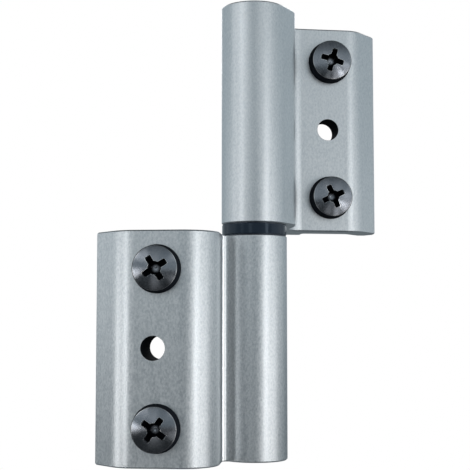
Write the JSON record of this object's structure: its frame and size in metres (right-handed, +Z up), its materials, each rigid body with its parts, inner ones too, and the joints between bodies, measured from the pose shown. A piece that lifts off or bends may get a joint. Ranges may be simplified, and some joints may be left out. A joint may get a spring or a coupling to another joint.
{
  "type": "lift off hinge",
  "caption": "Aluminium lift-off hinge: a lower half with a fixed pin, a flanged plastic bush, and an upper half that turns on the pin and lifts off it.",
  "frame": {"origin": "on the pin axis, level with the bottom end of the lower half", "axes": "+Z up the pin axis, which is also the direction the upper half lifts off; +Y is the way the lower half's screws are driven, towards what it is fixed to; the lower wing reaches along -X"},
  "size_m": [0.0615, 0.0631, 0.1026],
  "materials": {
    "anodised_aluminium": "matte",
    "ground_steel": "ground",
    "black_plastic": "satin",
    "black_nickel": "dark plated"
  },
  "bodies": {
    "lower": {"lower_leaf": "anodised_aluminium", "hinge_pin": "ground_steel", "lower_screw_bottom": "black_nickel", "lower_screw_top": "black_nickel"},
    "bush": {"flanged_bush": "black_plastic"},
    "upper": {"upper_leaf": "anodised_aluminium", "upper_screw_bottom": "black_nickel", "upper_screw_top": "black_nickel"}
  },
  "joints": [
    {"name": "leaf_swing", "type": "hinge", "parent": "lower", "child": "bush", "pos_m": [0, 0, 0], "axis": [0, 0, 1], "continuous": true},
    {"name": "lift_off", "type": "slide", "parent": "bush", "child": "upper", "axis": [0, 0, 1], "range_m": [0, 0.03]}
  ]
}
